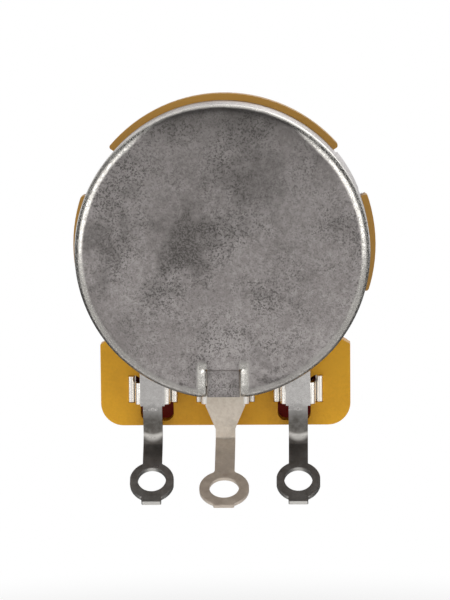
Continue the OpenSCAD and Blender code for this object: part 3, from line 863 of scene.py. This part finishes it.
@dataclass
class RearCover:
    """The drawn cover: a cup with a window at the lugs, a sheared stop tab and four fold-over tabs.

    The stop's bend lists how far the tab runs out and how deep it goes, step by step.
    """

    radius: float = 11.8
    back: float = 10.7
    front: float = 3.9
    sheet: float = 0.5
    edge: float = 0.9
    flat_rings: tuple[float, ...] = (0.0, 2.5, 5.0, 7.5)
    edge_rings: tuple[float, ...] = (0.6, 0.12)
    window_half: float = 42.0
    window_top: float = 7.3
    stop_half: float = 1.3
    stop_side: float = 3.0
    slit: float = 0.08
    stop_root: float = 9.29
    stop_bend: tuple[Point, ...] = ((0.06, 0.03), (0.08, 0.12), (0.06, 0.25), (0.06, 0.63), (0.04, 0.07))
    stop_short: float = 0.1
    roll: float = 0.75
    roll_end: float = 42.0
    tab_half: float = 1.7
    tab_side: float = 7.5
    tab_angles: tuple[float, ...] = (30.0, 150.0, 209.0, 331.0)
    fold_r: float = 0.65
    fold_end: float = 10.1
    plate_front: float = 1.0
    soft_edge: float = 0.045
    steps: int = 192

    def build(self, material: bpy.types.Material) -> bpy.types.Object:
        """Builds the piece.

        Args:
            material: Its finish.

        Returns:
            The piece.
        """
        skin = Blank()
        skin.spin(self._profile(), self.steps)
        bmesh.ops.recalc_face_normals(skin.mesh, faces=skin.mesh.faces)
        self._leave_tabs(skin)
        self._open_window(skin)
        self._shear_stop(skin)
        return skin.finished("rear_cover_drawn", Body.HOUSING, "tinned_cover", ["rear_cover"], material,
                             self.soft_edge, sheet=self.sheet)

    def _profile(self) -> list[Point]:
        """Draws the outer skin's profile, from the middle of the back to the ends of the tabs.

        Returns:
            Points as radius and depth.
        """
        flat = self.radius - self.edge
        rings = [*self.flat_rings, *(flat - inside for inside in self.edge_rings)]
        rim = arc((flat, self.back - self.edge), self.edge, 90, 0, 10)
        inner = self.plate_front - self.sheet
        fold = arc((self.radius - self.fold_r, inner + self.fold_r), self.fold_r, 0, -90, 5)
        wall = [(self.radius, z) for z in (self.window_top, self.front)]
        return [(r, self.back) for r in rings] + rim + wall + fold + [(self.fold_end, inner)]

    def _leave_tabs(self, skin: Blank) -> None:
        """Cuts the wall back to the board between the fold-over tabs.

        Args:
            skin: The skin.
        """
        rays = [Vector((math.cos(math.radians(angle)), math.sin(math.radians(angle)), 0))
                for angle in self.tab_angles]
        for ray in rays:
            across = Vector((-ray.y, ray.x, 0))

            def beside(at: Vector) -> bool:
                """Tells whether a face below the board's back lies on this tab's side of the cup."""
                return at.z < self.front and at.dot(ray) > self.tab_side

            for side in (-1, 1):
                skin.cut(across * self.tab_half * side, across, beside)

        def between(at: Vector) -> bool:
            """Tells whether a face below the board's back lies outside every tab."""
            offs = [abs(at.y * ray.x - at.x * ray.y) for ray in rays if at.dot(ray) > 0]
            return at.z < self.front and min(offs, default=self.radius) > self.tab_half

        skin.drop(between)

    def _open_window(self, skin: Blank) -> None:
        """Opens the window in the wall behind the lugs.

        Args:
            skin: The skin.
        """
        half = math.radians(self.window_half)

        def low(at: Vector) -> bool:
            """Tells whether a face lies in the window's height on the lugs' side."""
            return self.front < at.z < self.window_top and at.y < 0

        def inside(at: Vector) -> bool:
            """Tells whether a face lies in the window."""
            return low(at) and abs(math.atan2(at.x, -at.y)) < half

        for side in (-1, 1):
            skin.cut((0, 0, 0), (math.cos(half), side * math.sin(half), 0), low)
        skin.drop(inside)

    def _shear_stop(self, skin: Blank) -> None:
        """Shears the stop tab, presses it in and rolls the edges beside it over.

        Args:
            skin: The skin.
        """
        bend = arc((0, 0), self.roll, 90, self.roll_end, 5)
        free = self.stop_half + self.slit + bend[-1][0]

        def over(at: Vector) -> bool:
            """Tells whether a face lies round the tab, over the window."""
            return at.y < 0 and at.z > self.window_top and abs(at.x) < self.stop_side

        def open_notch(at: Vector) -> bool:
            """Tells whether a face lies where the tab is sheared free."""
            return over(at) and abs(at.x) < free and at.y < -self.stop_root

        def root(at: Vector) -> bool:
            """Tells whether an open edge is the tab's root."""
            return abs(at.y + self.stop_root) < NEAR and abs(at.x) < self.stop_half

        for x in (-free, -self.stop_half, self.stop_half, free):
            skin.cut((x, 0, 0), (1, 0, 0), over)
        skin.cut((0, -self.stop_root, 0), (0, 1, 0), over)
        skin.drop(open_notch)
        rest = self.radius - self.stop_short - self.stop_root - sum(out for out, _ in self.stop_bend)
        skin.pull(root, [*((0, -out, -deep) for out, deep in self.stop_bend), (0, -rest, 0)])
        for side in (-1, 1):

            def sheared(at: Vector) -> bool:
                """Tells whether an open edge is the notch's edge on this side."""
                return abs(at.x - side * free) < NEAR and at.y < -self.stop_root

            skin.pull(sheared, [(side * (a[0] - b[0]), 0, b[1] - a[1]) for a, b in zip(bend, bend[1:])])


@dataclass
class Bushing:
    """The threaded bushing: a rolled thread in front of the plate and a riveted rim behind it."""

    bore: float = 3.225
    crest: float = 4.76
    root: float = 4.27
    length: float = 9.5
    lead: float = 0.4
    pitch: float = 0.794
    crest_flat: float = 0.10
    root_flat: float = 0.14
    spare_turns: int = 2
    spigot: float = 5.16
    plate: float = 1.0
    rivet: float = 5.76
    rivet_t: float = 0.6
    smooth_below: float = 50.0
    steps: int = 64

    def build(self, material: bpy.types.Material) -> bpy.types.Object:
        """Builds the piece.

        Args:
            material: Its finish.

        Returns:
            The piece.
        """
        blank = Blank()
        start = self.lead - self.length
        self._thread(blank, start)
        self._head(blank)
        blank.spin([(self.bore, -self.length), (self.crest - self.lead, -self.length), (self.root, start)],
                   self.steps)
        for z in (start, 0.0):
            rings = [edge for edge in blank.mesh.edges if edge.is_boundary
                     and all(abs(point.co.z - z) < MERGE for point in edge.verts)]
            bmesh.ops.bridge_loops(blank.mesh, edges=rings)
        bmesh.ops.remove_doubles(blank.mesh, verts=blank.mesh.verts, dist=MERGE)
        bmesh.ops.recalc_face_normals(blank.mesh, faces=blank.mesh.faces)
        return blank.finished("bushing_threaded", Body.HOUSING, "plated_brass", ["bushing"], material, 0.0,
                              self.smooth_below)

    def _thread(self, blank: Blank, start: float) -> None:
        """Rolls the thread and trims it square at both ends.

        Args:
            blank: The blank.
            start: Depth at which the thread starts, behind the leading cone.
        """
        flank = (self.pitch - self.crest_flat - self.root_flat) / 2
        widths = (self.root_flat, flank, self.crest_flat, flank)
        radii = (self.root, self.root, self.crest, self.crest, self.root)
        depths = [-self.length - self.pitch + sum(widths[:count]) for count in range(len(radii))]
        turns = math.ceil(self.length / self.pitch) + self.spare_turns
        blank.spin(list(zip(radii, depths)), self.steps, turns, self.pitch)
        for z, side in ((start, -1), (0.0, 1)):
            geometry = [*blank.mesh.verts, *blank.mesh.edges, *blank.mesh.faces]
            bmesh.ops.bisect_plane(blank.mesh, geom=geometry, dist=MERGE, plane_co=(0, 0, z),
                                   plane_no=(0, 0, side), clear_outer=True)

    def _head(self, blank: Blank) -> None:
        """Turns the spigot in the plate, the riveted rim and the bore.

        Args:
            blank: The blank.
        """
        rim = arc((self.rivet - self.rivet_t, self.plate), self.rivet_t, 0, 90, 6)
        bore = [(self.bore, self.plate + self.rivet_t), (self.bore, -self.length)]
        blank.spin([(self.spigot, 0.0), (self.spigot, self.plate), *rim, *bore], self.steps)


@dataclass
class ElementBoard:
    """The laminate board, with the corners of its rim rounded and its slots close round the lugs.

    A slot place is its lug's place to the right and its own place beside the lug.
    """

    rim_corner: float = 0.3
    rim_radius: float = 12.1
    rim_above: float = -7.0
    rim_sharp: float = 0.6
    slot_places: tuple[Point, ...] = ((5.95, 1.48), (0.0, 1.98), (-5.95, 1.48))
    slot_y: float = -11.87
    slot_half: Point = (0.62, 1.17)
    slot_tighter: float = 0.045
    slot_top: float = -10.71
    slot_corner: float = 0.57
    near_top: float = 0.12
    near_side: float = 0.16
    soft_edge: float = 0.03

    def build(self, material: bpy.types.Material) -> bpy.types.Object:
        """Builds the piece.

        Args:
            material: Its finish.

        Returns:
            The piece.
        """
        blank = Blank.from_node("element_board")
        for x, aside in self.slot_places:
            for side in (-1, 1):
                self._tighten(blank, Vector((x + side * aside, self.slot_y, 0)))
        blank.round(self._is_slot_corner, self.slot_corner, 4)
        blank.round(self._is_corner, self.rim_corner, 5)
        return blank.finished("element_board_rounded", Body.HOUSING, "laminate", ["element_board"], material,
                              self.soft_edge)

    def _tighten(self, blank: Blank, centre: Vector) -> None:
        """Draws one slot's wall closer to the lug in it.

        Args:
            blank: The blank.
            centre: The slot's centre.
        """
        wide, high = self.slot_half
        wall = [point for point in blank.mesh.verts
                if abs(point.co.x - centre.x) < wide and abs(point.co.y - centre.y) < high]
        closer = (1 - self.slot_tighter / wide, 1 - self.slot_tighter / high, 1)
        bmesh.ops.scale(blank.mesh, vec=closer, space=Matrix.Translation(-centre), verts=wall)

    def _is_slot_corner(self, edge: bmesh.types.BMEdge) -> bool:
        """Tells whether an edge is a slot's upper corner on the side of its lug's saddle.

        Args:
            edge: The edge.

        Returns:
            True where it is.
        """
        at = edge.verts[0].co
        high = abs(at.y - self.slot_top) < self.near_top
        beside = any(abs(abs(at.x - x) - aside + self.slot_half[0]) < self.near_side
                     for x, aside in self.slot_places)
        return self._is_upright(edge) and high and beside

    def _is_corner(self, edge: bmesh.types.BMEdge) -> bool:
        """Tells whether an edge is an upright outer corner of the round rim.

        Args:
            edge: The edge.

        Returns:
            True where it is.
        """
        at = edge.verts[0].co
        outer = at.xy.length > self.rim_radius and at.y > self.rim_above
        return self._is_upright(edge) and outer and edge.calc_face_angle(0) > self.rim_sharp

    def _is_upright(self, edge: bmesh.types.BMEdge) -> bool:
        """Tells whether an edge runs through the board's thickness."""
        return (edge.verts[0].co - edge.verts[1].co).xy.length < NEAR


@dataclass(frozen=True)
class SoftBox:
    """One rectangular lamp that looks at the part. Lengths are in metres."""

    name: str
    at: Place
    size: Point
    watts: float
    reflected: bool = True

    def build(self) -> None:
        """Hangs the lamp."""
        data = bpy.data.lights.new(self.name, "AREA")
        data.shape = "RECTANGLE"
        data.size, data.size_y = self.size
        data.energy = self.watts
        lamp = bpy.data.objects.new(self.name, data)
        stand(lamp, self.at, self.at)
        lamp.visible_glossy = self.reflected
        bpy.context.scene.collection.objects.link(lamp)


@dataclass(frozen=True)
class ToneCard:
    """One flat card of an even tone, lengths in metres. Where it shades, it also keeps light off the part."""

    name: str
    at: Place
    facing: Place
    half: Point
    tone: float = 1.0
    shades: bool = False

    def build(self, material: bpy.types.Material) -> bpy.types.Object:
        """Sets up the card.

        Args:
            material: Its finish.

        Returns:
            The card.
        """
        mesh = bmesh.new()
        bmesh.ops.create_grid(mesh, x_segments=1, y_segments=1, size=1.0)
        bmesh.ops.scale(mesh, vec=(*self.half, 1), verts=mesh.verts)
        card = new_object(self.name, mesh, material)
        stand(card, self.at, self.facing)
        return card


@dataclass(frozen=True)
class DarkBand:
    """Part of a dark tube round the shaft's axis, between two depths in metres and two angles in degrees."""

    name: str
    near: float
    far: float
    start: float
    end: float
    tone: float = 0.10
    shades: bool = True
    radius: float = 0.25
    steps: int = 24

    def build(self, material: bpy.types.Material) -> bpy.types.Object:
        """Builds the band.

        Args:
            material: Its finish.

        Returns:
            The band.
        """
        mesh = bmesh.new()
        ends = [mesh.verts.new((self.radius, depth, 0)) for depth in (self.near, self.far)]
        edge = mesh.edges.new(ends)
        turned = Matrix.Rotation(-math.radians(self.start), 4, "Y")
        bmesh.ops.transform(mesh, matrix=turned, verts=mesh.verts)
        bmesh.ops.spin(mesh, geom=[*ends, edge], axis=(0, -1, 0), cent=(0, 0, 0),
                       angle=math.radians(self.end - self.start), steps=self.steps)
        band = new_object(self.name, mesh, material)
        return band


LAMPS = (
    SoftBox("key_box", (-0.03, -0.22, 0.43), (0.40, 0.16), 0.60, False),
    SoftBox("left_box", (-0.385, -0.32, 0.03), (0.35, 0.52), 0.95),
    SoftBox("right_box", (0.385, -0.32, 0.03), (0.35, 0.52), 0.90),
    SoftBox("back_box", (0.18, 0.46, 0.24), (0.36, 0.26), 0.44))
BANDS = (
    DarkBand("upper_left_band", -0.10, 0.07, 112, 150),
    DarkBand("upper_right_band", -0.10, 0.07, 30, 68),
    DarkBand("left_band", -0.05, 0.21, 140, 216),
    DarkBand("right_band", -0.05, 0.21, -36, 40))
CARDS = (
    ToneCard("low_card", (0, -0.164, ON_FLOOR), (0, 0, 1), (0.2, 0.15), 0.58),
    ToneCard("floor_under", (0, -0.008, ON_FLOOR), (0, 0, 1), (0.2, 0.007), 1.1),
    ToneCard("floor_behind", (0, 0.179, ON_FLOOR), (0, 0, 1), (0.25, 0.18), 0.08),
    ToneCard("top_card", (0, -0.15, 0.26), (0, 0, -1), (0.12, 0.175), 0.12),
    ToneCard("high_card", (0, -0.303, 0.175), (0, 0.303, -0.175), (0.12, 0.13), 0.4))


@dataclass
class Studio:
    """Camera, lamps, cards and floor. Directions are in degrees, lengths in metres."""

    lens: float = 190.07
    sensor: float = 36.0
    clip: Span = (0.005, 20.0)
    eye: Vector = Vector((0.00745, -0.2607, 0.02639))
    look_down: float = 6.865
    look_left: float = 1.657
    roll: float = -0.493
    floor_half: float = 3.0
    shadow_fades: Span = (0.05, 0.085)
    shadow_least: float = 0.5
    ambient: float = 0.32
    floor_white: float = 0.92

    def build(self) -> None:
        """Sets up the whole studio."""
        bpy.context.scene.view_settings.view_transform = "Standard"
        self.camera()
        self.world()
        self.floor()
        for box in LAMPS:
            box.build()
        for screen in (*BANDS, *CARDS):
            self._reflected_only(screen.build(even_glow(screen.name, screen.tone)), screen.shades)

    def camera(self) -> None:
        """Places the camera at the photograph's viewing angle."""
        data = bpy.data.cameras.new("camera")
        data.lens = self.lens
        data.sensor_width = self.sensor
        data.clip_start, data.clip_end = self.clip
        down = math.radians(self.look_down)
        left = math.radians(self.look_left)
        forward = Vector((-math.sin(left) * math.cos(down), math.cos(left) * math.cos(down), -math.sin(down)))
        camera = bpy.data.objects.new("camera", data)
        camera.location = self.eye
        camera.rotation_mode = "QUATERNION"
        turn = Quaternion((0, 0, 1), math.radians(self.roll))
        camera.rotation_quaternion = forward.to_track_quat("-Z", "Y") @ turn
        bpy.context.scene.collection.objects.link(camera)
        bpy.context.scene.camera = camera

    def world(self) -> None:
        """Makes the surroundings white to the eye and plain to the light."""
        world = bpy.data.worlds.new("surroundings")
        bpy.context.scene.world = world
        world.use_nodes = True
        paint = Paint(world.node_tree)
        light = paint.node("ShaderNodeBackground", {}, {0: (1, 1, 1, 1), 1: self.ambient}).value(0)
        white = paint.node("ShaderNodeBackground", {}, {0: (1, 1, 1, 1), 1: 1.0}).value(0)
        mixed = paint.node("ShaderNodeMixShader", {}, {0: self._seen(paint), 1: light, 2: white}).value(0)
        paint.node("ShaderNodeOutputWorld", {}, {0: mixed})

    def floor(self) -> None:
        """Lays a white floor under the part that keeps its shadow near it."""
        material, paint = new_material("floor_white")
        inputs = {0: paint.place()}
        away = paint.node("ShaderNodeVectorMath", {"operation": "LENGTH"}, inputs).value("Value")
        far = away.eased(self.shadow_fades) * (1 - self.shadow_least) + self.shadow_least
        matte = paint.node("ShaderNodeBsdfDiffuse", {}, {0: (*[self.floor_white] * 3, 1)}).value(0)
        white = paint.node("ShaderNodeEmission", {}, {0: (1, 1, 1, 1), 1: 1.0}).value(0)
        share = self._seen(paint) * far
        mixed = paint.node("ShaderNodeMixShader", {}, {0: share, 1: matte, 2: white}).value(0)
        paint.node("ShaderNodeOutputMaterial", {}, {0: mixed})
        ToneCard("floor", (0, 0, FLOOR_Z), (0, 0, 1), (self.floor_half, self.floor_half)).build(material)

    def _seen(self, paint: Paint) -> Wire:
        """Tells camera, glossy and transmission rays from the rest.

        Args:
            paint: The paint to add the nodes to.

        Returns:
            1 for the rays that see the background.
        """
        path = paint.node("ShaderNodeLightPath", {}, {})
        seen = path.value("Is Camera Ray").most(path.value("Is Glossy Ray"))
        return seen.most(path.value("Is Transmission Ray"))

    def _reflected_only(self, screen: bpy.types.Object, shades: bool) -> None:
        """Hides a band or card from everything but reflections.

        Args:
            screen: The band or card.
            shades: Whether it also keeps light off what is behind it.
        """
        screen.visible_camera = False
        screen.visible_diffuse = False
        screen.visible_shadow = shades
        screen.visible_transmission = False


def report(piece: bpy.types.Object) -> None:
    """Reports a built piece."""
    log.info("%s: %d faces", piece.name, len(piece.data.polygons))


def main() -> None:
    """Builds the studio and every piece, and reports each."""
    logging.basicConfig(level=logging.INFO, format="%(message)s")
    Studio().build()
    log.info("studio ready")
    report(RearCover().build(COVER_TIN.material()))
    report(ElementBoard().build(BOARD.material()))
    report(Bushing().build(BUSHING_PLATE.material()))
    lug_tin = LUG_TIN.material()
    for copied in (
            Copied("terminal_left", Body.HOUSING, "tinned_lug", lug_tin, 0.08),
            Copied("terminal_right", Body.HOUSING, "tinned_lug", lug_tin, 0.08),
            Copied("terminal_centre", Body.HOUSING, "nickel_lug", LUG_NICKEL.material(), 0.07),
            Copied("terminal_insulator", Body.HOUSING, "red_fibre", RED_FIBRE.material(), 0.03),
            Copied("mounting_plate", Body.HOUSING, "zinc_plate", PLATE_ZINC.material(), 0.06),
            Copied("shaft", Body.SHAFT, "shaft_brass", SHAFT_PLATE.material(), 0.04),
            Copied("retaining_ring", Body.SHAFT, "spring_steel", SPRING.material())):
        report(copied.build())
    silver = SILVER.material()
    for node, material in (
            ("resistive_track", CARBON.material()), ("end_pad_left", silver), ("end_pad_right", silver),
            ("collector_ring", silver), ("rotor", MOULDING.material()), ("wiper", BRONZE.material())):
        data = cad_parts[node].data
        data.materials.clear()
        data.materials.append(material)
        log.info("%s finished", node)


if __name__ == "__main__":
    main()
